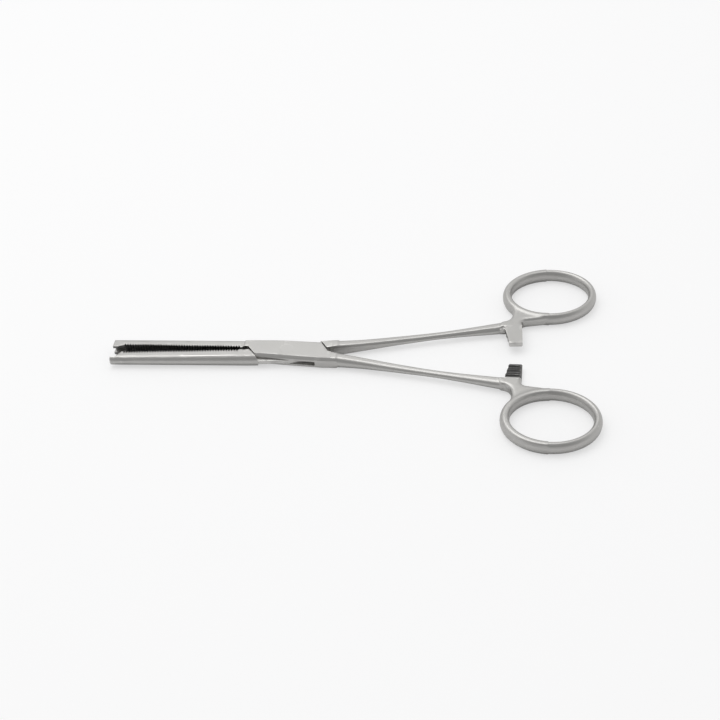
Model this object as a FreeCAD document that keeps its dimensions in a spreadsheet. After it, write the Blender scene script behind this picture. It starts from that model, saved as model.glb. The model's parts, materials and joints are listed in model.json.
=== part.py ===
import FreeCAD, Part
import math
import os
import Sketcher

# Straight haemostatic forceps with a box lock, 16 cm long, lying flat and slightly open.
# Two forged halves cross at the lock. The box half carries the far jaw, the two plates of
# the box and the near shank. The tongue half passes between the plates and carries the
# near jaw and the far shank. A rivet through the plates holds the tongue.
#
# Frame: millimetres, +Z up. The origin is where the axis of the rivet meets the surface that
# the forceps lie on. +X points from the lock to the finger rings. Both halves are drawn
# closed, with the tips of the jaws together, and are then turned about the rivet.

doc = FreeCAD.newDocument("HaemostaticForceps")
sheet = doc.addObject("Spreadsheet::Sheet", "sizes")

# name, millimetres or degrees or a count, meaning
SIZES = [
    # the joint
    ("opening_angle", 3.2, "angle between the halves as they lie, 0 when the tips touch"),
    ("tip_gap", 0.06, "gap left between the tips when closed"),
    ("heel_gap", 0.26, "gap between the heels of the jaws when the tips touch"),
    # jaws
    ("jaw_reach", 59.3, "rivet axis to the tips of the jaws"),
    ("jaw_heel_length", 0.4, "crotch of the lock to the heels of the jaws"),
    ("jaw_tip_flat", 2.1, "width of the flat top of a jaw at the tip"),
    ("jaw_tip_dome", 1.45, "depth of the rounded back at the tip"),
    ("jaw_tip_height", 3.6, "height of a jaw at the tip"),
    ("jaw_heel_flat", 2.9, "width of the flat top of a jaw at the heel"),
    ("jaw_heel_dome", 1.45, "depth of the rounded back at the heel"),
    ("jaw_heel_height", 4.5, "height of a jaw at the heel"),
    # serrations
    ("serration_pitch", 0.89, "pitch of the cross serrations"),
    ("serration_tip_margin", 4.15, "tip of a jaw to the first groove"),
    ("serration_heel_margin", 2.3, "least distance from the last groove to the heel"),
    ("serration_depth", 0.85, "depth of a groove"),
    ("serration_width", 0.8, "width of a groove at the face of the jaw"),
    ("serration_stagger", 0.5, "share of the pitch by which the near jaw's grooves are set off"),
    # teeth at the tip, one on the tongue half between two on the box half
    ("tooth_reach", 0.6, "how far the teeth stand out of the middle"),
    ("tooth_length", 1.7, "length of the pair of teeth along the jaw"),
    ("tooth_slope", 1.6, "length of the slope behind the pair of teeth"),
    ("tooth_thickness", 1.3, "height of the single tooth"),
    ("tooth_clearance", 0.2, "gap above and below the single tooth"),
    ("notch_length", 4.0, "length of the notch that takes the single tooth"),
    ("notch_depth", 1.2, "depth of that notch from the middle"),
    ("recess_length", 1.9, "length of the recess that takes the pair of teeth"),
    ("recess_slope", 1.8, "length of the slope behind that recess"),
    ("recess_depth", 2.4, "depth of that recess from the middle"),
    ("tooth_peak", 2.3, "tip of the jaw to the peak of the single tooth"),
    ("tooth_foot", 0.6, "peak of the single tooth to its front foot, along the jaw"),
    ("tooth_heel", 1.2, "peak of the single tooth to its rear foot, along the jaw"),
    ("gullet_depth", 1.2, "depth of the gullet in front of the single tooth"),
    # outline of the lock
    ("box_height", 4.5, "thickness of the lock"),
    ("box_bevel", 0.85, "bevel along the sides of the lock"),
    ("crotch_left", 13.0, "rivet axis to the inner end of the jaw shoulder"),
    ("crotch_rise", 0.8, "middle to the inner end of the jaw shoulder"),
    ("plate_left", 9.8, "rivet axis to the outer end of the jaw shoulder"),
    ("plate_left_side", 3.3, "middle to the outer end of the jaw shoulder"),
    ("crotch_right", 13.9, "rivet axis to the inner end of the shank shoulder"),
    ("crotch_drop", 0.65, "middle to the inner end of the shank shoulder"),
    ("plate_right", 10.6, "rivet axis to the outer end of the shank shoulder"),
    ("plate_right_side", 4.35, "middle to the outer end of the shank shoulder"),
    ("lock_bend", 11.4, "rivet axis to the bend in the near side of the plates"),
    ("lock_peak", 2.0, "rivet axis to the widest part of the plates"),
    ("lock_peak_side", 4.8, "half width of the plates there"),
    ("box_jaw_root", 1.4, "crotch to the end of the lock at the box half's jaw"),
    ("jaw_root_side", 4.5, "half width of the lock at the jaws"),
    ("shank_root", 3.1, "crotch to the end of the lock at the shanks"),
    ("shank_root_side", 4.8, "half width of the lock at the shanks"),
    ("shank_root_inner", 1.15, "middle to the inner side of a shank at the lock"),
    ("shank_crotch", 0.5, "middle to the crotch of the tongue half's shank"),
    # slot and tongue
    ("slot_height", 1.6, "height of the slot between the plates"),
    ("slot_left", 9.75, "rivet axis to the outer end of the slot's wall at the jaw"),
    ("slot_right", 9.8, "rivet axis to the outer end of the slot's wall at the shank"),
    ("tongue_clearance", 0.08, "gap above and below the tongue"),
    ("tongue_inset", 0.12, "how far the tongue stays inside the plates"),
    ("tongue_waist", 4.15, "half width of the tongue at the rivet, near side"),
    ("tongue_root", 4.45, "half width of the tongue at its jaw"),
    ("shoulder_gap", 0.2, "gap at the shoulders and the slot's walls when closed"),
    ("hook_rise", 0.55, "how far the hooked root of the near jaw passes the middle"),
    ("hook_top", 0.4, "length of the hook's top"),
    ("hook_slope", 1.2, "length of the hook's slope"),
    ("hook_gap", 0.5, "gap in front of the hook when closed"),
    # rivet
    ("rivet_radius", 1.5, "radius of the rivet"),
    ("rivet_head_radius", 2.0, "radius of the countersunk ends"),
    ("rivet_head_height", 0.5, "height of the countersunk ends"),
    ("rivet_clearance", 0.05, "gap round the rivet in the tongue"),
    # shanks, each section as place, inner face from the middle, width and height
    ("shank_overlap", 1.6, "how far a shank runs into the lock, to its first section"),
    ("shank_first_inner", 0.95, "middle to its inner face"),
    ("shank_first_width", 3.75, "its width"),
    ("shank_first_height", 4.48, "its height"),
    ("shank_first_relief", 0.2, "bevel along its inner corners"),
    ("shank_second", 24.4, "rivet axis to the second section"),
    ("shank_second_inner", 2.2, "middle to its inner face"),
    ("shank_second_width", 3.3, "its width"),
    ("shank_second_height", 3.4, "its height"),
    ("shank_second_relief", 0.45, "bevel along its inner corners"),
    ("shank_third", 37.5, "rivet axis to the third section"),
    ("shank_third_inner", 4.45, "middle to its inner face"),
    ("shank_third_width", 2.9, "its width"),
    ("shank_third_height", 2.4, "its height"),
    ("shank_third_relief", 0.65, "bevel along its inner corners"),
    ("shank_waist", 52.0, "rivet axis to the slimmest section"),
    ("shank_waist_inner", 6.95, "middle to its inner face"),
    ("shank_waist_width", 2.65, "its width"),
    ("shank_waist_height", 2.1, "its height"),
    ("shank_waist_relief", 0.7, "bevel along its inner corners"),
    ("shank_end", 71.5, "rivet axis to the last section"),
    ("shank_end_inner", 9.5, "middle to its inner face"),
    ("shank_end_width", 4.1, "its width"),
    ("shank_end_height", 3.3, "its height"),
    ("shank_end_relief", 1.0, "bevel along its inner corners"),
    ("shank_flat_share", 0.65, "share of a shank's width that is flat on top"),
    # finger rings
    ("ring_step", 13.95, "ratchet bar to the middle of the ring, along the forceps"),
    ("ring_rise", 17.9, "inner face of the shank's end to the middle of the ring, aside"),
    ("ring_half_length", 14.25, "half length of the middle line of a ring"),
    ("ring_half_width", 11.65, "half width of the middle line of a ring"),
    ("ring_wire_width", 2.75, "width of the ring's section"),
    ("ring_wire_height", 4.4, "height of the ring's section"),
    ("ring_ridge_width", 1.6, "distance between the ridges on top of a ring"),
    ("ring_ridge_height", 4.14, "height of the ring's section at its ridges"),
    # root of the ring
    ("root_height", 3.8, "height of the root that joins shank, ring and ratchet bar"),
    ("root_bevel", 0.6, "bevel along the root"),
    ("root_outer_leave", 0.96, "share of the shank's last stretch where the outer fillet starts"),
    ("root_outer_depth", 0.95, "share of the shank's width where it starts"),
    ("root_inner_leave", 0.92, "share of that stretch where the root leaves the shank's inside"),
    ("root_inner_depth", 0.25, "share of the shank's width where the root's wall starts"),
    ("neck_outer_step", 1.05, "ratchet bar to the outer side of the neck, along the forceps"),
    ("neck_outer_rise", 7.0, "inner face of the shank's end to that place, aside"),
    ("neck_inner_step", 1.45, "ratchet bar to the inner side of the neck, along the forceps"),
    ("neck_inner_rise", 4.0, "inner face of the shank's end to that place, aside"),
    ("outer_fillet_angle", 32.0, "angle round the ring to the end of the outer side of the neck"),
    ("inner_fillet_angle", 82.5, "angle round the ring to the end of the inner side of the neck"),
    ("outer_fillet_sag", 0.2, "sag of the outer fillet as a share of its chord"),
    ("neck_sag", 0.09, "sag of the neck's outer side as a share of its chord"),
    ("inner_fillet_sag", 0.2, "sag of the inner fillet as a share of its chord"),
    ("inner_fillet_rise", 2.4, "inner face of the shank's end to the start of the inner fillet"),
    # ratchet bars
    ("bar_step", 1.5, "end of the shank to the shank side of a ratchet bar at its end"),
    ("bar_width", 4.15, "width of a ratchet bar at its end"),
    ("bar_lean", 1.2, "how much wider a ratchet bar grows towards the shank"),
    ("bar_end", 1.93, "middle to the end of a ratchet bar when closed"),
    ("bar_side", 6.1, "length of the straight side of a ratchet bar"),
    ("bar_root_rise", 1.0, "inner face of the shank's end to the wall behind the ratchet teeth"),
    ("bar_overlap", 0.35, "how far a ratchet bar passes mid height"),
    ("bar_fillet_sag", 0.2, "sag of the fillet beside the bar as a share of its chord"),
    ("bar_bevel", 0.9, "bevel along the toothed face of a ratchet bar"),
    ("ratchet_land", 1.0, "length of the land between that wall and the first notch"),
    ("ratchet_pitch", 2.1, "pitch of the ratchet teeth"),
    ("ratchet_count", 4, "notches on each ratchet bar, the last one cut by its end"),
    ("ratchet_depth", 0.8, "depth of the ratchet notches"),
    ("ratchet_drop", 0.3, "length of the steep side of a ratchet notch"),
]

for row, (alias, number, note) in enumerate(SIZES, start=1):
    sheet.set("A%d" % row, note)
    sheet.set("B%d" % row, str(number))
    sheet.setAlias("B%d" % row, alias)
doc.recompute()


class Size:
    """A number together with the sheet formula that drives it."""

    def __init__(self, number, formula):
        self.number = float(number)
        self.formula = formula

    def __add__(self, other):
        other = size_of(other)
        return Size(self.number + other.number, "(%s + %s)" % (self.formula, other.formula))

    def __sub__(self, other):
        other = size_of(other)
        return Size(self.number - other.number, "(%s - %s)" % (self.formula, other.formula))

    def __mul__(self, other):
        other = size_of(other)
        return Size(self.number * other.number, "(%s * %s)" % (self.formula, other.formula))

    def __truediv__(self, other):
        other = size_of(other)
        return Size(self.number / other.number, "(%s / %s)" % (self.formula, other.formula))

    def __neg__(self):
        return self * -1


def size_of(value):
    """Turn a plain number into a Size."""
    if isinstance(value, Size):
        return value
    return Size(value, "(%r)" % float(value))


def size(alias):
    """The size in the sheet with this alias."""
    return Size(sheet.get(alias), "sizes." + alias)


def along(start, end, share):
    """The size that lies at this share of the way from start to end."""
    return start + (end - start) * share


def whole(value):
    """The size without its fraction."""
    return Size(math.floor(value.number), "floor(%s)" % value.formula)


def cosine(angle):
    """The cosine of an angle in degrees."""
    return Size(math.cos(math.radians(angle.number)), "cos(%s)" % angle.formula)


def sine(angle):
    """The sine of an angle in degrees."""
    return Size(math.sin(math.radians(angle.number)), "sin(%s)" % angle.formula)


def bow_between(start, end, sag):
    """The middle of an arc whose sag is a share of its chord, to the right of the way."""
    x = (start[0] + end[0]) / 2 + (end[1] - start[1]) * sag
    y = (start[1] + end[1]) / 2 - (end[0] - start[0]) * sag
    return x, y, "bow"


def bind(thing, name, value):
    """Drive one property of an object by the sheet."""
    thing.setExpression(name, size_of(value).formula)


middle = size("box_height") / 2
beyond = size("box_height") * 2
tip_face = size("tip_gap") / 2
heel_face = size("heel_gap") / 2
gap = size("shoulder_gap")
jaw_heel = -size("crotch_left") - size("jaw_heel_length")
box_jaw_root = -size("crotch_left") - size("box_jaw_root")
shank_root = size("crotch_right") + size("shank_root")
bar_left = size("shank_end") + size("bar_step")
bar_right = bar_left + size("bar_width")
bar_root = size("shank_end_inner") + size("bar_root_rise")
ring_along = bar_left + size("ring_step")
ring_aside = size("shank_end_inner") + size("ring_rise")


def origin_item(body, role):
    """The plane or axis with this role in the body's own origin."""
    return [item for item in body.Origin.OriginFeatures if item.Role == role][0]


def new_sketch(body, name, role, offset=0):
    """A sketch on one of the body's planes, moved along the plane's normal."""
    offset = size_of(offset)
    sketch = body.newObject("Sketcher::SketchObject", name)
    sketch.AttachmentSupport = [(origin_item(body, role), "")]
    sketch.MapMode = "FlatFace"
    sketch.AttachmentOffset = FreeCAD.Placement(
        FreeCAD.Vector(0, 0, offset.number), FreeCAD.Rotation())
    bind(sketch, "AttachmentOffset.Base.z", offset)
    return sketch


def constrain(sketch, *what, by):
    """Add a constraint whose value the sheet drives."""
    number = sketch.addConstraint(Sketcher.Constraint(*what, by.number))
    sketch.setExpression("Constraints[%d]" % number, by.formula)


def hold(sketch, geometry, vertex, x, y):
    """Fix a vertex of the sketch at a place that the sheet drives."""
    constrain(sketch, "DistanceX", -1, 1, geometry, vertex, by=x)
    constrain(sketch, "DistanceY", -1, 1, geometry, vertex, by=y)


def draw_edge(sketch, start, bow, end):
    """A straight edge, or an arc where a bow point is given. Returns its number and ends."""
    first, last = [FreeCAD.Vector(point[0].number, point[1].number, 0)
                   for point in (start, end)]
    if bow is None:
        return sketch.addGeometry(Part.LineSegment(first, last)), 1, 2
    passed = FreeCAD.Vector(bow[0].number, bow[1].number, 0)
    anticlockwise = (passed - first).cross(last - passed).z > 0
    if anticlockwise:
        arc = sketch.addGeometry(Part.Arc(first, passed, last))
    else:
        arc = sketch.addGeometry(Part.Arc(last, passed, first))
    point = sketch.addGeometry(Part.Point(passed), True)
    hold(sketch, point, 1, *bow)
    sketch.addConstraint(Sketcher.Constraint("PointOnObject", point, 1, arc))
    return (arc, 1, 2) if anticlockwise else (arc, 2, 1)


def draw_outline(sketch, points):
    """A closed outline. A point with a third entry is passed by an arc, not a corner."""
    points = [(size_of(point[0]), size_of(point[1])) + tuple(point[2:]) for point in points]
    count = len(points)
    corners = []
    edges = []
    for index, point in enumerate(points):
        if len(point) == 3:
            continue
        following = points[(index + 1) % count]
        bow = None
        if len(following) == 3:
            bow = following[:2]
            following = points[(index + 2) % count]
        corners.append(point)
        edges.append(draw_edge(sketch, point, bow, following))
    for index, (edge, start, _) in enumerate(edges):
        previous, _, end = edges[index - 1]
        sketch.addConstraint(Sketcher.Constraint("Coincident", previous, end, edge, start))
        hold(sketch, edge, start, *corners[index])


def draw_ellipse(sketch, x, y, half_x, half_y):
    """An ellipse whose axes lie along the sketch's own axes."""
    centre = FreeCAD.Vector(x.number, y.number, 0)
    across = FreeCAD.Vector(half_x.number, 0, 0)
    upward = FreeCAD.Vector(0, half_y.number, 0)
    wide = half_x.number >= half_y.number
    if wide:
        ellipse = sketch.addGeometry(Part.Ellipse(centre + across, centre + upward, centre))
    else:
        ellipse = sketch.addGeometry(Part.Ellipse(centre + upward, centre - across, centre))
    sketch.exposeInternalGeometry(ellipse)
    hold(sketch, ellipse, 3, x, y)
    long_axis = ellipse + 1
    short_axis = ellipse + 2
    sketch.addConstraint(Sketcher.Constraint("Horizontal" if wide else "Vertical", long_axis))
    constrain(sketch, "Distance", long_axis, by=(half_x if wide else half_y) * 2)
    constrain(sketch, "Distance", short_axis, by=(half_y if wide else half_x) * 2)


def pad(body, name, points, low, high):
    """Material between two heights inside an outline seen from above."""
    sketch = new_sketch(body, name + "_outline", "XY_Plane", low)
    draw_outline(sketch, points)
    feature = body.newObject("PartDesign::Pad", name)
    feature.Profile = sketch
    bind(feature, "Length", size_of(high) - low)
    doc.recompute()


def cut(body, name, role, offset, points, length):
    """Take away what an outline sweeps along its plane's normal. Returns the feature."""
    before = body.Shape.Volume
    sketch = new_sketch(body, name + "_outline", role, offset)
    draw_outline(sketch, points)
    feature = body.newObject("PartDesign::Pocket", name)
    feature.Profile = sketch
    feature.Reversed = True
    bind(feature, "Length", length)
    doc.recompute()
    if body.Shape.Volume >= before:
        raise RuntimeError("%s takes nothing away from %s" % (name, body.Label))
    return feature


def cut_down(body, name, points, low=0, high=beyond):
    """Take away what lies between two heights inside an outline seen from above."""
    return cut(body, name, "XY_Plane", low, points, size_of(high) - low)


def repeat(body, feature, axis, pitch, count, backwards=False):
    """Repeat a feature along one of the body's axes."""
    pattern = body.newObject("PartDesign::LinearPattern", feature.Name + "_row")
    pattern.Originals = [feature]
    pattern.Direction = (origin_item(body, axis), [""])
    pattern.Reversed = backwards
    bind(pattern, "Length", pitch * (count - 1))
    bind(pattern, "Occurrences", count)
    body.Tip = pattern
    doc.recompute()


def bevel(body, name, runs, width):
    """Bevel the level edges that run between the given pairs of corners."""
    near = 0.01
    shaped = body.Tip
    runs = [[FreeCAD.Vector(size_of(x).number, size_of(y).number, 0) for x, y in run]
            for run in runs]
    names = []
    for number, edge in enumerate(shaped.Shape.Edges, start=1):
        ends = [vertex.Point for vertex in edge.Vertexes]
        if len(ends) < 2 or abs(ends[0].z - ends[1].z) > near:
            continue
        flat = [FreeCAD.Vector(end.x, end.y, 0) for end in ends]
        for run in runs:
            if all(min(end.distanceToPoint(corner) for corner in run) < near for end in flat):
                names.append("Edge%d" % number)
    if len(names) != 2 * len(runs):
        raise RuntimeError("%s finds %d edges" % (name, len(names)))
    feature = body.newObject("PartDesign::Chamfer", name)
    feature.Base = (shaped, names)
    bind(feature, "Size", width)
    doc.recompute()


def on_side(points, side, across=1):
    """The outline on the side of the forceps that a half asks for."""
    placed = []
    for point in points:
        point = list(point)
        point[across] = size_of(point[across]) * side
        placed.append(tuple(point))
    return placed


def draw_half_round(sketch, side, inner, flat, dome, height, relief=None):
    """A section with a flat inner face, flat top and bottom and a rounded back."""
    low = middle - height / 2
    high = middle + height / 2
    outer = inner + flat
    back = [(outer, low), (outer + dome, middle, "bow"), (outer, high)]
    if relief is None:
        front = [(inner, high), (inner, low)]
    else:
        front = [
            (inner + relief, high),
            (inner, high - relief),
            (inner, low + relief),
            (inner + relief, low),
        ]
    outline = on_side(back + front, side, across=0)
    draw_outline(sketch, outline if side > 0 else outline[::-1])


def add_jaw(body, side):
    """The jaw, from the heel at the lock to the tip."""
    heel = new_sketch(body, "jaw_heel_section", "YZ_Plane", jaw_heel)
    draw_jaw_heel(heel, side)
    tip = new_sketch(body, "jaw_tip_section", "YZ_Plane", -size("jaw_reach"))
    draw_half_round(tip, side, tip_face, size("jaw_tip_flat"), size("jaw_tip_dome"),
                    size("jaw_tip_height"))
    jaw = body.newObject("PartDesign::AdditiveLoft", "jaw")
    jaw.Profile = heel
    jaw.Sections = [tip]
    jaw.Ruled = True
    doc.recompute()


def draw_jaw_heel(sketch, side):
    """The section of a jaw where it meets the lock."""
    draw_half_round(sketch, side, heel_face, size("jaw_heel_flat"), size("jaw_heel_dome"),
                    size("jaw_heel_height"))


def add_serrations(body, side):
    """The cross serrations on the inner face of the jaw."""
    over = size("serration_depth") / 2
    depth = size("serration_depth")
    face = along(tip_face, heel_face, 0.5)
    half = size("serration_width") / 2 * (depth + face + over) / depth
    pitch = size("serration_pitch")
    place = -size("jaw_reach") + size("serration_tip_margin")
    if side < 0:
        place = place + pitch * size("serration_stagger")
    room = jaw_heel - size("serration_heel_margin") - place
    groove = cut_down(body, "serration", on_side([
        (place - half, -over),
        (place + half, -over),
        (place, face + depth),
    ], side))
    repeat(body, groove, "X_Axis", pitch, whole(room / pitch) + 1)


def add_shank(body, side):
    """The shank, which thins towards its waist and swells again at the ring."""
    places = {
        "first": shank_root - size("shank_overlap"),
        "second": size("shank_second"),
        "third": size("shank_third"),
        "waist": size("shank_waist"),
        "end": size("shank_end"),
    }
    sections = []
    for name, place in places.items():
        name = "shank_" + name
        section = new_sketch(body, name + "_section", "YZ_Plane", place)
        width = size(name + "_width")
        flat = width * size("shank_flat_share")
        draw_half_round(section, side, size(name + "_inner"), flat, width - flat,
                        size(name + "_height"), size(name + "_relief"))
        sections.append(section)
    shank = body.newObject("PartDesign::AdditiveLoft", "shank")
    shank.Profile = sections[0]
    shank.Sections = sections[1:]
    doc.recompute()


def add_ring(body, side):
    """The finger ring, a rounded section with four soft ridges, carried round an ellipse."""
    path = new_sketch(body, "ring_middle_line", "XY_Plane", middle)
    draw_ellipse(path, ring_along, ring_aside * side,
                 size("ring_half_length"), size("ring_half_width"))
    section = new_sketch(body, "ring_section", "XZ_Plane", -ring_aside * side)
    centre = ring_along + size("ring_half_length")
    wide = size("ring_wire_width") / 2
    tall = size("ring_wire_height") / 2
    ridge = size("ring_ridge_width") / 2
    ridge_level = size("ring_ridge_height") / 2
    draw_outline(section, [
        (centre - ridge, middle - ridge_level),
        (centre, middle - tall, "bow"),
        (centre + ridge, middle - ridge_level),
        (centre + wide, middle, "bow"),
        (centre + ridge, middle + ridge_level),
        (centre, middle + tall, "bow"),
        (centre - ridge, middle + ridge_level),
        (centre - wide, middle, "bow"),
    ])
    ring = body.newObject("PartDesign::AdditivePipe", "finger_ring")
    ring.Profile = section
    ring.Spine = (path, ["Edge1"])
    doc.recompute()


def on_ring(angle, grow=0):
    """A point on the ring's middle line or beside it, at an angle from the lock's side."""
    return (ring_along - (size("ring_half_length") + grow) * cosine(angle),
            ring_aside - (size("ring_half_width") + grow) * sine(angle))


def on_shank(leave, depth):
    """A point on the last stretch of the shank, at a share of that stretch and of its width."""
    inner = along(size("shank_waist_inner"), size("shank_end_inner"), leave)
    width = along(size("shank_waist_width"), size("shank_end_width"), leave)
    return along(size("shank_waist"), size("shank_end"), leave), inner + width * depth


def add_root(body, side):
    """The full height root between shank, ring and ratchet bar, with a neck at the ring."""
    inside = size("shank_end_inner")
    outer_angle = size("outer_fillet_angle")
    inner_angle = size("inner_fillet_angle")
    wire = size("ring_wire_width") / 2
    outer_start = on_shank(size("root_outer_leave"), size("root_outer_depth"))
    outer_neck = (bar_left + size("neck_outer_step"), inside + size("neck_outer_rise"))
    outer_end = on_ring(outer_angle, wire)
    inner_end = on_ring(inner_angle, wire)
    inner_neck = (bar_right + size("neck_inner_step"), inside + size("neck_inner_rise"))
    inner_start = (bar_right, inside + size("inner_fillet_rise"))
    outline = on_side([
        outer_start,
        bow_between(outer_start, outer_neck, size("outer_fillet_sag")),
        outer_neck,
        bow_between(outer_neck, outer_end, size("neck_sag")),
        outer_end,
        on_ring(outer_angle),
        on_ring((outer_angle + inner_angle) / 2) + ("bow",),
        on_ring(inner_angle),
        inner_end,
        inner_neck,
        bow_between(inner_neck, inner_start, size("inner_fillet_sag")),
        inner_start,
        (bar_right, bar_root),
        on_shank(size("root_inner_leave"), size("root_inner_depth")),
    ], side)
    half = size("root_height") / 2
    pad(body, "ring_root", outline, middle - half, middle + half)
    bevel(body, "ring_root_bevel", [
        on_side([outer_start, outer_neck], side),
        on_side([outer_neck, outer_end], side),
        on_side([inner_end, inner_neck], side),
        on_side([inner_neck, inner_start], side),
    ], size("root_bevel"))


def add_ratchet(body, side, low, high, tooth_level, tooth_way):
    """The ratchet bar, half the height of the root, with teeth on one face."""
    bar_end = size("bar_end")
    fillet_start = on_shank(size("root_inner_leave"), 0)
    fillet_end = (bar_left - size("bar_lean"), bar_end + size("bar_side"))
    pad(body, "ratchet_bar", on_side([
        fillet_start,
        bow_between(fillet_end, fillet_start, size("bar_fillet_sag")),
        fillet_end,
        (bar_left, bar_end),
        (bar_right, bar_end),
        (bar_right, size("shank_end_inner") + size("inner_fillet_rise")),
    ], side), low, high)
    slope = size("bar_bevel")
    cut(body, "ratchet_bevel", "XZ_Plane", -bar_root if side > 0 else 0, [
        (bar_right - slope * 2, tooth_level + slope * tooth_way),
        (bar_right + slope * 2, tooth_level + slope * tooth_way),
        (bar_right + slope * 2, tooth_level - slope * 3 * tooth_way),
    ], bar_root)
    pitch = size("ratchet_pitch")
    crest = bar_root - size("ratchet_land") - pitch
    above = tooth_level + size("ratchet_depth") * tooth_way
    floor = tooth_level - size("ratchet_depth") * tooth_way
    steep = size("ratchet_drop")
    notch = cut(body, "ratchet_notch", "YZ_Plane", bar_left - size("bar_width"), [
        (crest * side, above),
        (crest * side, tooth_level),
        ((crest + steep) * side, floor),
        ((crest + pitch) * side, tooth_level),
        ((crest + pitch) * side, above),
    ], beyond * 2)
    repeat(body, notch, "Y_Axis", pitch, size("ratchet_count"), side > 0)


def jaw_shoulder(side_place):
    """Where the line of the jaw shoulder lies at this distance from the middle."""
    share = (size("crotch_rise") - side_place) / (size("crotch_rise") + size("plate_left_side"))
    return along(-size("crotch_left"), -size("plate_left"), share)


def shank_shoulder(side_place):
    """Where the line of the shank shoulder lies at this distance from the middle."""
    share = (size("crotch_drop") + side_place) / (size("crotch_drop") + size("plate_right_side"))
    return along(size("crotch_right"), size("plate_right"), share)


def rivet_profile(sketch):
    """Half of the rivet's section, beside its axis."""
    height = size("box_height")
    head = size("rivet_head_height")
    draw_outline(sketch, [
        (0, 0),
        (size("rivet_head_radius"), 0),
        (size("rivet_radius"), head),
        (size("rivet_radius"), height - head),
        (size("rivet_head_radius"), height),
        (0, height),
    ])


def turn(body, name, kind):
    """Turn the rivet's section about the rivet's axis, as material or as a cut."""
    sketch = new_sketch(body, name + "_section", "XZ_Plane")
    rivet_profile(sketch)
    feature = body.newObject("PartDesign::" + kind, name)
    feature.Profile = sketch
    feature.ReferenceAxis = (sketch, ["V_Axis"])
    doc.recompute()


def new_body(label):
    """An empty body that may be in pieces while it is built up."""
    body = doc.addObject("PartDesign::Body", label)
    body.Label = label
    body.AllowCompound = True
    return body


def make_box_half():
    """The half with the two plates of the lock, the far jaw and the near shank."""
    body = new_body("box_half")
    jaw = 1
    shank = -1

    add_root(body, shank)
    low = middle - size("root_height") / 2
    high = middle + size("bar_overlap")
    add_ratchet(body, shank, low, high, high, 1)

    near_left = (-size("plate_left"), -size("plate_left_side"))
    near_bend = (size("lock_bend"), -size("shank_root_side"))
    near_right = (shank_root, -size("shank_root_side"))
    far_right = (size("plate_right"), size("plate_right_side"))
    far_peak = (-size("lock_peak"), size("lock_peak_side"))
    far_left = (box_jaw_root, size("jaw_root_side"))
    crotch_left = (-size("crotch_left"), size("crotch_rise"))
    crotch_right = (size("crotch_right"), -size("crotch_drop"))
    pad(body, "plates", [
        crotch_left,
        near_left,
        near_bend,
        near_right,
        (shank_root, -size("shank_root_inner")),
        crotch_right,
        far_right,
        far_peak,
        far_left,
        (box_jaw_root, size("crotch_rise")),
    ], 0, size("box_height"))
    bevel(body, "plates_bevel", [
        [near_left, near_bend],
        [near_bend, near_right],
        [far_right, far_peak],
        [far_peak, far_left],
    ], size("box_bevel"))

    # the slot's two slanting walls run on past the sides of the plates
    onward = 1.5
    half = size("slot_height") / 2
    past_left = along(-size("crotch_left"), -size("slot_left"), onward)
    past_far = along(size("crotch_rise"), size("jaw_root_side"), onward)
    past_right = along(size("crotch_right"), size("slot_right"), onward)
    past_near = along(size("crotch_drop"), size("shank_root_side"), onward)
    cut_down(body, "slot", [
        crotch_left,
        (-size("crotch_left"), -past_near),
        (past_right, -past_near),
        crotch_right,
        (size("crotch_right"), past_far),
        (past_left, past_far),
    ], middle - half, middle + half)

    add_jaw(body, jaw)
    hook_side = size("crotch_rise")
    recess_top = -size("crotch_left") - gap - size("hook_top") - size("hook_gap")
    recess_foot = recess_top - size("hook_slope")
    cut_down(body, "hook_recess", [
        (recess_foot, -hook_side),
        (recess_foot, heel_face),
        (recess_top, hook_side),
        crotch_left,
        (-size("crotch_left"), -hook_side),
    ])
    add_serrations(body, jaw)
    add_tooth_pair(body)
    add_shank(body, shank)
    add_ring(body, shank)
    turn(body, "rivet_hole", "Groove")
    return body


def add_tooth_pair(body):
    """Two teeth at the tip of the far jaw, above and below a notch."""
    tip = -size("jaw_reach")
    inside = tip_face + size("notch_depth")
    tooth_end = tip + size("tooth_length")
    slope_end = tooth_end + size("tooth_slope")
    half = size("jaw_tip_height") / 2
    pad(body, "tooth_pair", [
        (tip, -size("tooth_reach")),
        (tooth_end, -size("tooth_reach")),
        (slope_end, tip_face),
        (slope_end, inside),
        (tip, inside),
    ], middle - half, middle + half)
    notch = size("tooth_thickness") / 2 + size("tooth_clearance")
    notch_end = tip + size("notch_length")
    cut_down(body, "tooth_notch", [
        (tip - beyond, -size("tooth_reach") * 2),
        (notch_end, -size("tooth_reach") * 2),
        (notch_end, size("notch_depth")),
        (tip - beyond, size("notch_depth")),
    ], middle - notch, middle + notch)


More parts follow.
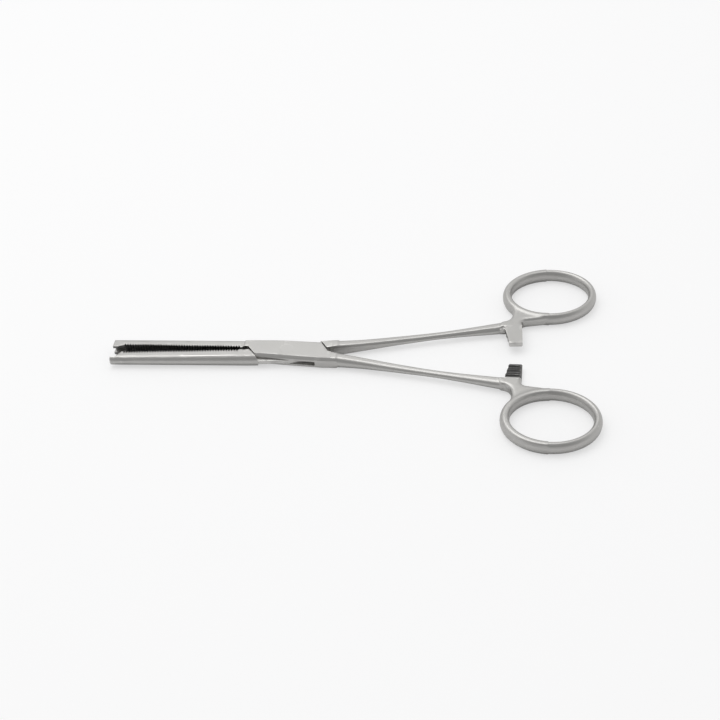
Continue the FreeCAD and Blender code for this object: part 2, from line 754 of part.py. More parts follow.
def make_tongue_half():
    """The half with the tongue that passes through the box, the near jaw and the far shank."""
    body = new_body("tongue_half")
    jaw = -1
    shank = 1

    add_jaw(body, jaw)
    add_jaw_root(body)
    add_root(body, shank)
    low = middle - size("bar_overlap")
    high = middle + size("root_height") / 2
    add_ratchet(body, shank, low, high, low, -1)

    tongue_low = middle - size("slot_height") / 2 + size("tongue_clearance")
    tongue_high = middle + size("slot_height") / 2 - size("tongue_clearance")
    inset = size("tongue_inset")
    hook = size("hook_rise")
    pad(body, "tongue", [
        (-size("crotch_left") - gap, 0),
        (-size("crotch_left") + gap, hook),
        (-size("slot_left") + gap, size("jaw_root_side")),
        (-size("lock_peak"), size("lock_peak_side") - inset),
        (size("plate_right") + gap * 2, size("plate_right_side")),
        (size("crotch_right"), size("shank_crotch") + inset),
        (size("crotch_right") - gap, -size("crotch_drop")),
        (size("slot_right") - gap, -size("shank_root_side") + inset),
        (0, -size("tongue_waist")),
        (-size("plate_left") + gap, -size("tongue_root") + inset),
    ], tongue_low, tongue_high)

    hook_front = -size("crotch_left") - gap - size("hook_top")
    pad(body, "jaw_hook", [
        (hook_front - size("hook_slope"), -heel_face),
        (hook_front, hook),
        (jaw_shoulder(hook) - gap, hook),
        (jaw_shoulder(-heel_face) - gap, -heel_face),
    ], 0, size("box_height"))
    shank_corner = (size("plate_right") + gap, size("plate_right_side"))
    shank_end = (shank_root, size("shank_root_side"))
    pad(body, "shank_root", [
        (shank_shoulder(size("shank_crotch")) + gap, size("shank_crotch")),
        (shank_root, size("shank_root_inner")),
        shank_end,
        shank_corner,
    ], 0, size("box_height"))
    bevel(body, "shank_root_bevel", [[shank_corner, shank_end]], size("box_bevel"))

    add_serrations(body, jaw)
    add_single_tooth(body)
    add_shank(body, shank)
    add_ring(body, shank)
    cut_round(body, "rivet_bore", size("rivet_radius") + size("rivet_clearance"))
    return body


def add_jaw_root(body):
    """The near jaw's section carried on into the lock, and cut off along the shoulder."""
    section = new_sketch(body, "jaw_root_section", "YZ_Plane", jaw_heel)
    draw_jaw_heel(section, -1)
    root = body.newObject("PartDesign::Pad", "jaw_root")
    root.Profile = section
    bind(root, "Length", -jaw_heel)
    doc.recompute()
    outside = jaw_shoulder(-size("tongue_root") * 2) - gap
    cut_down(body, "jaw_shoulder", [
        (jaw_shoulder(size("hook_rise")) - gap, size("hook_rise")),
        (outside, -size("tongue_root") * 2),
        (beyond, -size("tongue_root") * 2),
        (beyond, size("hook_rise")),
    ])


def add_single_tooth(body):
    """One tooth at the tip of the near jaw, with recesses for the pair of the far jaw."""
    tip = -size("jaw_reach")
    peak = tip + size("tooth_peak")
    front = peak - size("tooth_foot")
    rear = peak + size("tooth_heel")
    half = size("tooth_thickness") / 2
    recess_end = tip + size("recess_length")
    slope_end = recess_end + size("recess_slope")
    recess = [
        (tip - beyond, size("tooth_reach")),
        (slope_end + size("recess_slope") / 2, size("tooth_reach")),
        (slope_end, -tip_face),
        (recess_end, -size("recess_depth")),
        (tip - beyond, -size("recess_depth")),
    ]
    cut_down(body, "upper_recess", recess, middle + half)
    cut_down(body, "lower_recess", recess, 0, middle - half)
    cut_down(body, "gullet", [
        (tip - beyond, size("tooth_reach")),
        (front, size("tooth_reach")),
        (front, -size("gullet_depth")),
        (tip - beyond, -size("gullet_depth")),
    ], middle - half, middle + half)
    pad(body, "single_tooth", [
        (peak, size("tooth_reach")),
        (front, -size("gullet_depth")),
        (rear, -size("gullet_depth")),
        (rear, -tip_face),
    ], middle - half, middle + half)


def cut_round(body, name, radius):
    """A round hole about the axis of the rivet."""
    sketch = new_sketch(body, name + "_outline", "XY_Plane")
    circle = sketch.addGeometry(Part.Circle(FreeCAD.Vector(), FreeCAD.Vector(0, 0, 1),
                                            radius.number))
    sketch.addConstraint(Sketcher.Constraint("Coincident", circle, 3, -1, 1))
    constrain(sketch, "Radius", circle, by=radius)
    feature = body.newObject("PartDesign::Pocket", name)
    feature.Profile = sketch
    feature.Reversed = True
    bind(feature, "Length", beyond)
    doc.recompute()


def make_pivot_pin():
    """The rivet that holds the tongue between the plates."""
    body = new_body("pivot_pin")
    turn(body, "rivet", "Revolution")
    return body


def set_turn(body, angle):
    """Turn a half about the rivet, by an angle that the sheet drives."""
    body.Placement = FreeCAD.Placement(
        FreeCAD.Vector(), FreeCAD.Rotation(FreeCAD.Vector(0, 0, 1), angle.number))
    bind(body, "Placement.Rotation.Angle", angle)


half_turn = size("opening_angle") / 2
box_half = make_box_half()
tongue_half = make_tongue_half()
pivot_pin = make_pivot_pin()
set_turn(box_half, -half_turn)
set_turn(tongue_half, half_turn)
set_turn(pivot_pin, -half_turn)
doc.recompute()

for item in doc.Objects:
    if "Invalid" in item.State or "Error" in item.State:
        raise RuntimeError("%s did not build" % item.Label)

parts = [box_half, tongue_half, pivot_pin]
for part in parts:
    if part.Shape.isNull() or not part.Shape.isValid() or len(part.Shape.Solids) != 1:
        raise RuntimeError("%s is not one sound solid" % part.Label)

os.makedirs("parts", exist_ok=True)
for part in parts:
    part.Shape.exportStep("parts/%s.step" % part.Label)
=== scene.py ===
import bmesh
import bpy
import json
import math
from mathutils import Matrix, Vector

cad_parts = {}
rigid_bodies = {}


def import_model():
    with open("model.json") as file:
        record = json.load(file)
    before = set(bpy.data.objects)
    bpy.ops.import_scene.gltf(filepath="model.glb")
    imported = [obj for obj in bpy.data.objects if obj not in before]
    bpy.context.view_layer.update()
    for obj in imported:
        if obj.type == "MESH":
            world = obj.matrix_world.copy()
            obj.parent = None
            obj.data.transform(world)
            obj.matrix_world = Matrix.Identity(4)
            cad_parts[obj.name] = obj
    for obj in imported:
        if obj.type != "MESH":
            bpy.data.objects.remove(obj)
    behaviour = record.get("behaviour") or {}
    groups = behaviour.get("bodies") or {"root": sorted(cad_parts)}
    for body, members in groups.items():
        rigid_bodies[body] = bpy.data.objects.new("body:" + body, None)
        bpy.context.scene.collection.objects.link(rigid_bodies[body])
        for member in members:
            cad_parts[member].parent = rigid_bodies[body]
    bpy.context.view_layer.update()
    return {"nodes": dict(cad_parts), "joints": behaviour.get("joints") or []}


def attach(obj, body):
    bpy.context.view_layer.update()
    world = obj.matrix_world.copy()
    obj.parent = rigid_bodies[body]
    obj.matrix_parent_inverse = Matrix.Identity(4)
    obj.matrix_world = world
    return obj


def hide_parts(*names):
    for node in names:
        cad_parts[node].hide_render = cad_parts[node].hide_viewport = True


# A straight haemostatic forceps, 16 cm long, in satin stainless steel. It lies slightly open
# on a white table. Each half of the forging gets a piece of its own: the lock, the jaw and the
# ratchet bar keep their crisp ground edges, and the shank, the finger ring and the root between
# them are blended into one another as the belt and the wheel leave them.
#
# Lengths are in millimetres until a mesh is finished. The halves are worked on closed, with
# the tips of the jaws together, and are then turned to where they lie.

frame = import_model()
nodes = frame["nodes"]
scene = bpy.context.scene
MM = 0.001

# resting angle of each half, from the range of the lock's joint
lock_joint = frame["joints"][0]
half_turn = math.radians(-lock_joint["range_deg"][0] / 2)

# places along the forceps and beside its middle, closed
lock_end = 15.0
lock_neck = 17.6
shank_stop = 70.0
jaw_tip = -59.3
jaw_heel = -13.4
bar_zone = (69.3, 78.5)
bar_end = 1.93
bar_root = 10.5
thickness = 4.5
middle = thickness / 2

# stretches of the node's own shape that grow into the handle
root_zone = (66, 86)
lock_side_zone = (lock_end - 0.8, lock_neck + 2)

# room that the cutting blocks take past the forceps
past_tips = -80
beside = 60
below = -1
above = 6

# outline that leaves the ratchet bar and, past a step, drops its root
fence_start = 0.5
fence_step = 2.6
fence_outer = bar_root + 0.35
fence_inner = bar_root - 1.3

# near side of the tongue that is eased, and the root of its jaw that is levelled
tongue_ease = ((0.5, -4.2), (9.9, -3.1), (9.9, -6), (0.5, -6))
tongue_half_height = 0.8
crotch_low = (-16, -0.12)
crotch_high = (-11, 2)

# shank sections: place, inner face, width, height and bevel of the inner corners
SHANK = [
    (15.4, 0.95, 3.75, 4.48, 0.2),
    (24.4, 2.2, 3.3, 3.4, 0.45),
    (37.5, 4.45, 2.9, 2.4, 0.65),
    (52.0, 6.95, 2.65, 2.1, 0.7),
    (71.5, 9.5, 4.1, 3.3, 1.0),
]
shank_flat_share = 0.65
shank_steps = 120

# finger ring
ring_centre = (86.65, 27.4)
ring_half = (14.25, 11.65)
ring_points = 288
wire_width = 2.75
wire_height = 4.4
wire_points = 40

# blending of the handle: its skin, the reach of the blend, and the passes of each smoothing
skin_size = 0.2
neck_centre = (77.6, 16.5)
blend_near = 3.2
blend_far = 7.0
shank_end_weight = 1.3
smoothing_factor = 0.5
smoothing_passes = {"all": 5, "blend": 40, "shank_ends": 14}

# edges and faces, with angles in degrees
edge_round = 0.07
round_angle = 28
sharp_angle = 32
flat_angle = 0.5
face_step = 0.93
weld = 0.0001
node_weld = 0.001

# serrations, whose edges stay sharp, and how far their milled faces reach and slant; those faces
# get the dark tone that is painted shade
sharp_start = jaw_tip + 0.5
sharp_reach = 1.4
serration_reach = 1.35
serration_slant = 0.7

# milled teeth of the ratchet, whose faces get the dark tone that is painted shade
tooth_zone = (bar_zone[0] + 2, bar_zone[1])
tooth_across = (bar_end - 0.1, bar_root - 0.2)
tooth_slant = 0.1
tooth_level = (-0.6, 0.3)

# edges that handling has polished, as a range of Pointiness, and the extra brightness painted on
# them as a highlight
polish_highlight_start = 0.52
polish_highlight_end = 0.6
edge_highlight_gain = 3

# steel grain
rough_spread = 0.15
grain_strength = 0.5
grain_detail = 3
drift_scale = 140
drift_detail = 2

# table, in metres
table_half = 3
table_drop = 0.00002
table_white = (0.95, 0.95, 0.955, 1)

# light, in watts and metres
lamp_power = 2.4
lamp_size = (0.8, 0.6)
lamp_place = (-0.2, 0.22, 0.8)
lamp_aim = (0.03, 0, 0)
dark_side = (0.1, -0.86, 0.5)
room_levels = ((0.66, 0.85), (0.93, 0.42))
floor_lift = 0.55


def tidy_scene():
    """Start from the frame alone."""
    for item in list(scene.objects):
        if item.type in ("CAMERA", "LIGHT") or item.name == "Cube":
            bpy.data.objects.remove(item)


def add_object(name, data):
    """An object at the origin that holds a mesh, a lamp or a camera."""
    item = bpy.data.objects.new(name, data)
    scene.collection.objects.link(item)
    return item


def mesh_from(name, work):
    """A mesh from a bmesh, which is freed."""
    mesh = bpy.data.meshes.new(name)
    work.to_mesh(mesh)
    work.free()
    return mesh


def finished(item):
    """The object's mesh with its modifiers carried out, and the modifiers gone."""
    bpy.context.view_layer.update()
    graph = bpy.context.evaluated_depsgraph_get()
    mesh = bpy.data.meshes.new_from_object(item.evaluated_get(graph), depsgraph=graph)
    item.modifiers.clear()
    item.data = mesh
    return item


def closed_copy(node, side):
    """The node's own shape, merged into a closed skin, in millimetres and turned closed."""
    work = bmesh.new()
    work.from_mesh(nodes[node].data)
    bmesh.ops.remove_doubles(work, verts=work.verts, dist=node_weld * MM)
    work.transform(Matrix.Rotation(-half_turn * side, 4, "Z") @ Matrix.Scale(1 / MM, 4))
    bmesh.ops.dissolve_limit(work, angle_limit=math.radians(flat_angle), verts=work.verts,
                             edges=work.edges)
    return add_object(node + "_copy", mesh_from(node + "_copy", work))


def block(name, low, high):
    """A plain block used as a cutter."""
    work = bmesh.new()
    bmesh.ops.create_cube(work, size=1)
    low = Vector(low)
    high = Vector(high)
    work.transform(Matrix.Translation((low + high) / 2) @ Matrix.Diagonal((high - low).to_4d()))
    return add_object(name, mesh_from(name, work))


def combine(item, other, operation):
    """Join, cut or intersect two closed skins. The second is used up."""
    modifier = item.modifiers.new("combine", "BOOLEAN")
    modifier.operation = operation
    modifier.solver = "MANIFOLD"
    modifier.object = other
    finished(item)
    bpy.data.objects.remove(other)
    return item


def prism(name, outline, low, high):
    """A plain cutter with the given outline, seen from above."""
    work = bmesh.new()
    floor = [work.verts.new((x, y, low)) for x, y in outline]
    roof = [work.verts.new((x, y, high)) for x, y in outline]
    work.faces.new(floor)
    work.faces.new(roof)
    for index in range(len(outline)):
        after = (index + 1) % len(outline)
        work.faces.new([floor[index], floor[after], roof[after], roof[index]])
    bmesh.ops.recalc_face_normals(work, faces=work.faces)
    return add_object(name, mesh_from(name, work))


def kept_zone(source, name, start, end):
    """The stretch of a shape between two places along the forceps."""
    item = add_object(name, source.data.copy())
    zone = block("zone", (start, -beside, below), (end, beside, above))
    return combine(item, zone, "INTERSECT")


def soften_edges(item, keep_sharp=lambda edge: False):
    """A fine round on the edges, apart from those that keep_sharp picks."""
    work = bmesh.new()
    work.from_mesh(item.data)
    layer = work.edges.layers.float.new("bevel_weight_edge")
    for edge in work.edges:
        if len(edge.link_faces) == 2:
            bent = edge.calc_face_angle(0) > math.radians(round_angle)
            edge[layer] = 1.0 if bent and not keep_sharp(edge) else 0.0
    work.to_mesh(item.data)
    work.free()
    modifier = item.modifiers.new("edge_round", "BEVEL")
    modifier.limit_method = "WEIGHT"
    modifier.width = edge_round
    modifier.segments = 2
    return finished(item)


def divide_faces(item):
    """Cut up large faces, so that the shading and the polished edges with their painted
    highlight stay local.
    """
    work = bmesh.new()
    work.from_mesh(item.data)
    bmesh.ops.triangulate(work, faces=work.faces)
    for axis in (Vector((1, 0, 0)), Vector((0, 1, 0))):
        places = [vertex.co.dot(axis) for vertex in work.verts]
        first = min(places)
        for number in range(1, int((max(places) - first) / face_step)):
            geometry = work.verts[:] + work.edges[:] + work.faces[:]
            bmesh.ops.bisect_plane(work, geom=geometry, dist=weld, plane_no=axis,
                                   plane_co=axis * (first + face_step * number))
    bmesh.ops.triangulate(work, faces=work.faces)
    work.to_mesh(item.data)
    work.free()


def shank_section(place, inner, width, height, bevel, side, steps=10):
    """Points round the shank: flat inner face, flat top and bottom, rounded back."""
    flat = width * shank_flat_share
    dome = width - flat
    points = [
        (inner + bevel, -height / 2),
        (inner, -height / 2 + bevel),
        (inner, height / 2 - bevel),
        (inner + bevel, height / 2),
    ]
    outer = inner + flat
    radius = (dome * dome + height * height / 4) / (2 * dome)
    centre = outer + dome - radius
    reach = math.asin(min(1, height / 2 / radius))
    for step in range(steps + 1):
        angle = reach * (1 - 2 * step / steps)
        points.append((centre + radius * math.cos(angle), radius * math.sin(angle)))
    return [Vector((place, y * side, middle + z)) for y, z in points]


def through(rows, place):
    """Values at a place on a smooth curve through rows that start with their own place."""
    for index in range(len(rows) - 1):
        if rows[index + 1][0] >= place:
            break
    before = rows[max(index - 1, 0)]
    start = rows[index]
    end = rows[index + 1]
    after = rows[min(index + 2, len(rows) - 1)]
    span = end[0] - start[0]
    share = (place - start[0]) / span
    values = []
    for row in range(1, len(start)):
        rise = (end[row] - before[row]) / (end[0] - before[0]) * span
        fall = (after[row] - start[row]) / (after[0] - start[0]) * span
        values.append((2 * share**3 - 3 * share**2 + 1) * start[row]
                      + (share**3 - 2 * share**2 + share) * rise
                      + (3 * share**2 - 2 * share**3) * end[row]
                      + (share**3 - share**2) * fall)
    return values


def make_shank(side):
    """The shank, lofted through its sections."""
    work = bmesh.new()
    rings = []
    for step in range(shank_steps + 1):
        place = SHANK[0][0] + (SHANK[-1][0] - SHANK[0][0]) * step / shank_steps
        section = shank_section(place, *through(SHANK, place), side)
        rings.append([work.verts.new(point) for point in section])
    count = len(rings[0])
    for first, second in zip(rings, rings[1:]):
        for index in range(count):
            after = (index + 1) % count
            work.faces.new([first[index], first[after], second[after], second[index]])
    work.faces.new(rings[0])
    work.faces.new(rings[-1])
    bmesh.ops.recalc_face_normals(work, faces=work.faces)
    return add_object("shank", mesh_from("shank", work))


def ring_tree(finish):
    """Geometry nodes that carry an oval wire round an oval path."""
    tree = bpy.data.node_groups.new("oval_ring", "GeometryNodeTree")
    sockets = {}
    for name in ("Half Length", "Half Width", "Wire Width", "Wire Height"):
        socket = tree.interface.new_socket(name, in_out="INPUT", socket_type="NodeSocketFloat")
        sockets[name] = socket.identifier
    tree.interface.new_socket("Geometry", in_out="OUTPUT", socket_type="NodeSocketGeometry")
    entry = tree.nodes.new("NodeGroupInput")
    leave = tree.nodes.new("NodeGroupOutput")

    def oval(points, half_x, half_y, share):
        circle = tree.nodes.new("GeometryNodeCurvePrimitiveCircle")
        circle.inputs["Resolution"].default_value = points
        circle.inputs["Radius"].default_value = share
        size = tree.nodes.new("ShaderNodeCombineXYZ")
        size.inputs["Z"].default_value = 1
        tree.links.new(entry.outputs[half_x], size.inputs["X"])
        tree.links.new(entry.outputs[half_y], size.inputs["Y"])
        place = tree.nodes.new("GeometryNodeTransform")
        tree.links.new(circle.outputs["Curve"], place.inputs["Geometry"])
        tree.links.new(size.outputs["Vector"], place.inputs["Scale"])
        return place.outputs["Geometry"]

    path = oval(ring_points, "Half Length", "Half Width", 1)
    wire = oval(wire_points, "Wire Width", "Wire Height", 0.5)
    sweep = tree.nodes.new("GeometryNodeCurveToMesh")
    tree.links.new(path, sweep.inputs["Curve"])
    tree.links.new(wire, sweep.inputs["Profile Curve"])
    realize = tree.nodes.new("GeometryNodeRealizeInstances")
    tree.links.new(sweep.outputs["Mesh"], realize.inputs["Geometry"])
    dress = tree.nodes.new("GeometryNodeSetMaterial")
    dress.inputs["Material"].default_value = finish
    tree.links.new(realize.outputs["Geometry"], dress.inputs["Geometry"])
    tree.links.new(dress.outputs["Geometry"], leave.inputs["Geometry"])
    return tree, sockets


def make_ring(side, finish):
    """The finger ring."""
    tree, sockets = ring_tree(finish)
    item = add_object("ring", bpy.data.meshes.new("ring"))
    modifier = item.modifiers.new("oval_ring", "NODES")
    modifier.node_group = tree
    modifier[sockets["Half Length"]] = ring_half[0]
    modifier[sockets["Half Width"]] = ring_half[1]
    modifier[sockets["Wire Width"]] = wire_width
    modifier[sockets["Wire Height"]] = wire_height
    finished(item)
    item.data.transform(Matrix.Translation((ring_centre[0], ring_centre[1] * side, middle)))
    work = bmesh.new()
    work.from_mesh(item.data)
    bmesh.ops.remove_doubles(work, verts=work.verts, dist=weld)
    bmesh.ops.recalc_face_normals(work, faces=work.faces)
    work.to_mesh(item.data)
    work.free()
    return item


def blended_handle(copy, side, finish):
    """Shank, ring and root grown together and smoothed."""
    root = kept_zone(copy, "root", *root_zone)
    lock_side = kept_zone(copy, "lock_side", *lock_side_zone)
    shank = make_shank(side)
    ring = make_ring(side, finish)
    work = bmesh.new()
    for item in (root, lock_side, shank, ring):
        work.from_mesh(item.data)
        bpy.data.objects.remove(item)
    handle = add_object("handle", mesh_from("handle", work))
    skin = handle.modifiers.new("skin", "REMESH")
    skin.mode = "VOXEL"
    skin.voxel_size = skin_size
    finished(handle)
    blend = handle.vertex_groups.new(name="blend")
    shank_ends = handle.vertex_groups.new(name="shank_ends")
    for vertex in handle.data.vertices:
        away = math.hypot(vertex.co.x - neck_centre[0], vertex.co.y * side - neck_centre[1])
        weight = (blend_far - away) / (blend_far - blend_near)
        blend.add([vertex.index], min(1, max(0, weight)), "REPLACE")
        away = min(abs(vertex.co.x - lock_neck), abs(vertex.co.x - shank_stop))
        weight = shank_end_weight * (1 - away / (lock_neck - lock_end))
        shank_ends.add([vertex.index], min(1, max(0, weight)), "REPLACE")
    for name, passes in smoothing_passes.items():
        smooth = handle.modifiers.new(name, "SMOOTH")
        smooth.factor = smoothing_factor
        smooth.iterations = passes
        if name in handle.vertex_groups:
            smooth.vertex_group = name
    return finished(handle)


def trim_tongue(lock):
    """Ease the tongue's near side, and level the root of its jaw beside the crotch."""
    tongue_low = middle - tongue_half_height
    tongue_high = middle + tongue_half_height
    combine(lock, prism("ease", tongue_ease, tongue_low, tongue_high), "DIFFERENCE")
    for low, high in ((below, tongue_low), (tongue_high, above)):
        level = block("level", (*crotch_low, low), (*crotch_high, high))
        combine(lock, level, "DIFFERENCE")


def ratchet_bar(copy, side):
    """The ratchet bar, cut free of the shank and the ring."""
    start, end = bar_zone
    step = start + fence_step
    corners = [(start, fence_start), (end, fence_start), (end, fence_outer),
               (step, fence_outer), (step, fence_inner), (start, fence_inner)]
    fence = prism("fence", [(x, y * side) for x, y in corners], below, above)
    return combine(kept_zone(copy, "bar", start, end), fence, "INTERSECT")


def on_serrations(edge):
    """True for the edges of the serrations, which stay sharp."""
    return all(sharp_start < vertex.co.x < jaw_heel and abs(vertex.co.y) < sharp_reach
               for vertex in edge.verts)


def milled_shade(place, facing, side):
    """True where a cutter has left the steel, on the serrations and the ratchet teeth. These
    faces take a far darker tone, which is painted shade in the notches.
    """
    across = abs(place.y)
    if jaw_tip < place.x < jaw_heel:
        return across < serration_reach and abs(facing.z) < serration_slant
    if tooth_zone[0] < place.x < tooth_zone[1] and tooth_across[0] < across < tooth_across[1]:
        level = (middle - place.z) * side
        return -facing.z * side > tooth_slant and tooth_level[0] < level < tooth_level[1]
    return False


def make_half(node, side, materials):
    """One half of the forceps, which stands for its node. Its shank is on the given side."""
    copy = closed_copy(node, side)
    lock = kept_zone(copy, "lock", past_tips, lock_end)
    if side > 0:
        trim_tongue(lock)
    soften_edges(lock, on_serrations)
    divide_faces(lock)
    bar = ratchet_bar(copy, side)
    soften_edges(bar)
    divide_faces(bar)
    handle = blended_handle(copy, side, materials["satin"])
    for item in (lock, bar, handle):
        item.data.shade_smooth()
    bpy.data.objects.remove(copy)
    half = combine(combine(handle, lock, "UNION"), bar, "UNION")
    half.name = node + "_forging"
    half.data.materials.clear()
    for finish in ("satin", "milled_shade"):
        half.data.materials.append(materials[finish])
    # faces of the serrations and ratchet teeth take the milled tone, which is painted shade
    for face in half.data.polygons:
        face.material_index = int(milled_shade(face.center, face.normal, side))
    half.data.transform(Matrix.Rotation(half_turn * side, 4, "Z") @ Matrix.Scale(MM, 4))
    half.data.shade_smooth()
    half.data.set_sharp_from_angle(angle=math.radians(sharp_angle))
    even = half.modifiers.new("even_faces", "WEIGHTED_NORMAL")
    even.keep_sharp = True
    finished(half)
    half.data.name = half.name
    return half


def new_group(name, inputs, outputs):
    """An empty shader node group with number sockets. Returns it with its two ends."""
    group = bpy.data.node_groups.new(name, "ShaderNodeTree")
    for socket, value in inputs.items():
        made = group.interface.new_socket(socket, in_out="INPUT", socket_type="NodeSocketFloat")
        made.default_value = value
    for socket in outputs:
        group.interface.new_socket(socket, in_out="OUTPUT", socket_type="NodeSocketFloat")
    return group, group.nodes.new("NodeGroupInput"), group.nodes.new("NodeGroupOutput")


def placed_group(tree, group, values):
    """A node group placed in a material, with its own values."""
    node = tree.nodes.new("ShaderNodeGroup")
    node.node_tree = group
    for socket, value in values.items():
        node.inputs[socket].default_value = value
    return node


def math_node(tree, operation, *values):
    """A math node fed by sockets or numbers. Returns its output."""
    node = tree.nodes.new("ShaderNodeMath")
    node.operation = operation
    for socket, value in zip(node.inputs, values):
        if isinstance(value, (int, float)):
            socket.default_value = value
        else:
            tree.links.new(value, socket)
    return node.outputs["Value"]


def colour_mix(tree):
    """A node that mixes two colours."""
    node = tree.nodes.new("ShaderNodeMix")
    node.data_type = "RGBA"
    return node


def toned(tone, factor):
    """A colour made lighter or darker, no lighter than white."""
    return (*[min(1, part * factor) for part in tone], 1)


def grain_group():
    """Fine belt grain that runs along the forceps, and the broad drift of its tone."""
    group, entry, leave = new_group("ground_grain", {"Grain Size": 0.12, "Stretch": 6},
                                    ("Grain", "Drift"))
    place = group.nodes.new("ShaderNodeTexCoord")
    squeeze = group.nodes.new("ShaderNodeCombineXYZ")
    group.links.new(math_node(group, "DIVIDE", 1, entry.outputs["Stretch"]), squeeze.inputs["X"])
    squeeze.inputs["Y"].default_value = 1
    squeeze.inputs["Z"].default_value = 1
    along = group.nodes.new("ShaderNodeVectorMath")
    along.operation = "MULTIPLY"
    group.links.new(place.outputs["Object"], along.inputs[0])
    group.links.new(squeeze.outputs["Vector"], along.inputs[1])
    fine = group.nodes.new("ShaderNodeTexNoise")
    fine.inputs["Detail"].default_value = grain_detail
    group.links.new(along.outputs["Vector"], fine.inputs["Vector"])
    group.links.new(math_node(group, "DIVIDE", 1 / MM, entry.outputs["Grain Size"]),
                    fine.inputs["Scale"])
    broad = group.nodes.new("ShaderNodeTexNoise")
    broad.inputs["Scale"].default_value = drift_scale
    broad.inputs["Detail"].default_value = drift_detail
    group.links.new(place.outputs["Object"], broad.inputs["Vector"])
    group.links.new(fine.outputs["Fac"], leave.inputs["Grain"])
    group.links.new(broad.outputs["Fac"], leave.inputs["Drift"])
    return group


def edge_group():
    """Edges that handling has polished, whose mask also places a painted highlight."""
    group, entry, leave = new_group("polished_edge_highlight", {"Start": polish_highlight_start, "End": polish_highlight_end},
                                    ("Polish And Highlight",))
    shape = group.nodes.new("ShaderNodeNewGeometry")
    spread = group.nodes.new("ShaderNodeMapRange")
    group.links.new(shape.outputs["Pointiness"], spread.inputs["Value"])
    group.links.new(entry.outputs["Start"], spread.inputs["From Min"])
    group.links.new(entry.outputs["End"], spread.inputs["From Max"])
    group.links.new(spread.outputs["Result"], leave.inputs["Polish And Highlight"])
    return group


def steel(name, groups, tone, rough, grain_size=0.12, stretch=6, grain_depth=0.012,
          drift=0.06, polish_and_highlight=0.05):
    """Stainless steel: ground tone that drifts a little, belt grain, and polished edges whose
    colour is lightened as a painted highlight.
    """
    material = bpy.data.materials.new(name)
    material.use_nodes = True
    tree = material.node_tree
    shader = tree.nodes["Principled BSDF"]
    shader.inputs["Metallic"].default_value = 1
    grain = placed_group(tree, groups["grain"], {"Grain Size": grain_size, "Stretch": stretch})
    edge = placed_group(tree, groups["edge"], {"Start": polish_highlight_start, "End": polish_highlight_end})
    colour = colour_mix(tree)
    colour.inputs["A"].default_value = toned(tone, 1 - drift)
    colour.inputs["B"].default_value = toned(tone, 1 + drift)
    tree.links.new(grain.outputs["Drift"], colour.inputs["Factor"])
    # painted highlight: the base colour is made lighter on the pointy edges
    bright = colour_mix(tree)
    bright.inputs["B"].default_value = toned(tone, 1 + edge_highlight_gain * polish_and_highlight)
    tree.links.new(edge.outputs["Polish And Highlight"], bright.inputs["Factor"])
    tree.links.new(colour.outputs["Result"], bright.inputs["A"])
    tree.links.new(bright.outputs["Result"], shader.inputs["Base Color"])
    spread = tree.nodes.new("ShaderNodeMapRange")
    spread.inputs["To Min"].default_value = rough * (1 - rough_spread)
    spread.inputs["To Max"].default_value = rough * (1 + rough_spread)
    tree.links.new(grain.outputs["Grain"], spread.inputs["Value"])
    polish = math_node(tree, "MULTIPLY", edge.outputs["Polish And Highlight"], polish_and_highlight)
    tree.links.new(math_node(tree, "SUBTRACT", spread.outputs["Result"], polish),
                   shader.inputs["Roughness"])
    bump = tree.nodes.new("ShaderNodeBump")
    bump.inputs["Distance"].default_value = grain_depth * MM
    bump.inputs["Strength"].default_value = grain_strength
    tree.links.new(grain.outputs["Grain"], bump.inputs["Height"])
    tree.links.new(bump.outputs["Normal"], shader.inputs["Normal"])
    return material


def make_floor():
    """The white table."""
    work = bmesh.new()
    bmesh.ops.create_grid(work, x_segments=1, y_segments=1, size=table_half)
    floor = add_object("table", mesh_from("table", work))
    floor.data.transform(Matrix.Translation((0, 0, -table_drop)))
    material = bpy.data.materials.new("white_table")
    material.use_nodes = True
    tree = material.node_tree
    shader = tree.nodes["Principled BSDF"]
    shader.inputs["Base Color"].default_value = table_white
    shader.inputs["Roughness"].default_value = 0.9
    shader.inputs["Specular IOR Level"].default_value = 0.2
    white = tree.nodes.new("ShaderNodeEmission")
    seen = tree.nodes.new("ShaderNodeLightPath")
    lift = tree.nodes.new("ShaderNodeMixShader")
    tree.links.new(math_node(tree, "MULTIPLY", seen.outputs["Is Camera Ray"], floor_lift),
                   lift.inputs["Fac"])
    tree.links.new(shader.outputs["BSDF"], lift.inputs[1])
    tree.links.new(white.outputs["Emission"], lift.inputs[2])
    tree.links.new(lift.outputs["Shader"], tree.nodes["Material Output"].inputs["Surface"])
    floor.data.materials.append(material)


def make_lamp():
    """A broad soft lamp overhead."""
    lamp = bpy.data.lights.new("ceiling_softbox", "AREA")
    lamp.shape = "RECTANGLE"
    lamp.size, lamp.size_y = lamp_size
    lamp.energy = lamp_power
    item = add_object("ceiling_softbox", lamp)
    item.location = lamp_place
    aim = Vector(lamp_aim) - item.location
    item.rotation_euler = aim.to_track_quat("-Z", "Y").to_euler()


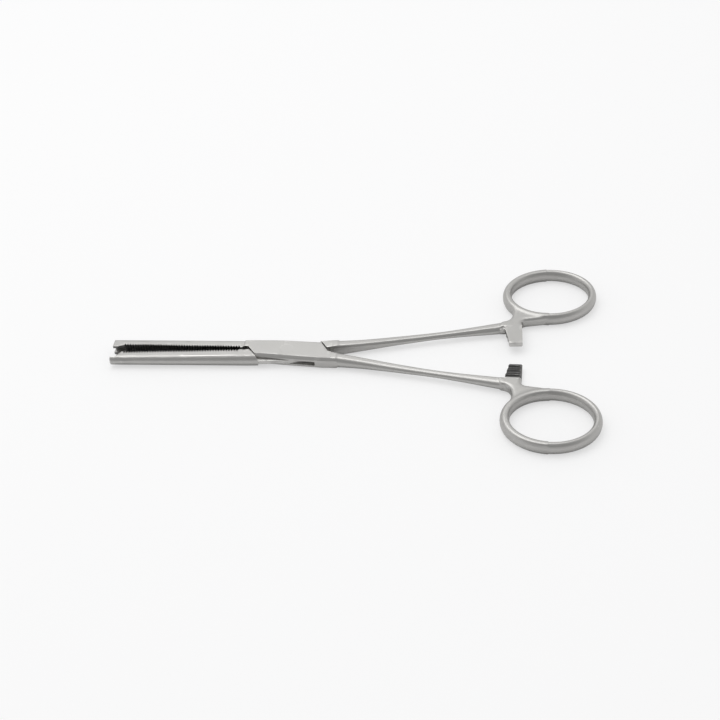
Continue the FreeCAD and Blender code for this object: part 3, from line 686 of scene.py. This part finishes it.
def make_room():
    """A white room that is darker on the camera's side."""
    world = bpy.data.worlds.new("room")
    scene.world = world
    world.use_nodes = True
    tree = world.node_tree
    room = tree.nodes["Background"]
    place = tree.nodes.new("ShaderNodeTexCoord")
    toward = tree.nodes.new("ShaderNodeVectorMath")
    toward.operation = "DOT_PRODUCT"
    toward.inputs[1].default_value = dark_side
    tree.links.new(place.outputs["Generated"], toward.inputs[0])
    wall = tree.nodes.new("ShaderNodeValToRGB")
    for element, (share, level) in zip(wall.color_ramp.elements, room_levels):
        element.position = share
        element.color = (level, level, level, 1)
    tree.links.new(math_node(tree, "MULTIPLY_ADD", toward.outputs["Value"], 0.5, 0.5),
                   wall.inputs["Fac"])
    seen = tree.nodes.new("ShaderNodeLightPath")
    plain = colour_mix(tree)
    plain.inputs["B"].default_value = (1, 1, 1, 1)
    tree.links.new(seen.outputs["Is Camera Ray"], plain.inputs["Factor"])
    tree.links.new(wall.outputs["Color"], plain.inputs["A"])
    tree.links.new(plain.outputs["Result"], room.inputs["Color"])
    room.inputs["Strength"].default_value = 1


def make_camera():
    """The camera, at the photograph's angle of view."""
    raised = math.radians(42)
    swung = math.radians(-10)
    rolled = math.radians(-6.2)
    distance = 435 * MM
    focal_pixels = 1332.2
    picture = 720
    target = Vector((21.4, -4.8, 0)) * MM
    target_pixel = (350.5, 369)
    back = Vector((-math.sin(swung) * math.cos(raised), -math.cos(swung) * math.cos(raised),
                   math.sin(raised)))
    right = Vector((math.cos(swung), -math.sin(swung), 0))
    up = back.cross(right)
    picture_right = math.cos(rolled) * right + math.sin(rolled) * up
    picture_up = -math.sin(rolled) * right + math.cos(rolled) * up
    camera = bpy.data.cameras.new("camera")
    camera.sensor_width = 36
    camera.lens = focal_pixels * camera.sensor_width / picture
    camera.shift_x = (picture / 2 - target_pixel[0]) / picture
    camera.shift_y = (target_pixel[1] - picture / 2) / picture
    camera.clip_start = 0.01
    item = add_object("camera", camera)
    place = Matrix((picture_right, picture_up, back)).transposed().to_4x4()
    place.translation = target + back * distance
    item.matrix_world = place
    scene.camera = item


scene.view_settings.view_transform = "Standard"
tidy_scene()
groups = {"grain": grain_group(), "edge": edge_group()}
materials = {
    "satin": steel("satin_steel", groups, (0.47, 0.464, 0.45), 0.39),
    # the milled tone is a third of the satin's: painted shade in the serrations and the ratchet
    # notches
    "milled_shade": steel("cut_and_shaded_steel", groups, (0.15, 0.148, 0.145), 0.45, stretch=1),
    "rivet": steel("rivet_steel", groups, (0.475, 0.469, 0.455), 0.37, stretch=1, polish_and_highlight=0),
}
for node, side in (("box_half", -1), ("tongue_half", 1)):
    half = make_half(node, side, materials)
    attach(half, node)
    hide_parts(node)
pin = nodes["pivot_pin"]
pin.data.materials.clear()
pin.data.materials.append(materials["rivet"])
make_floor()
make_lamp()
make_room()
make_camera()
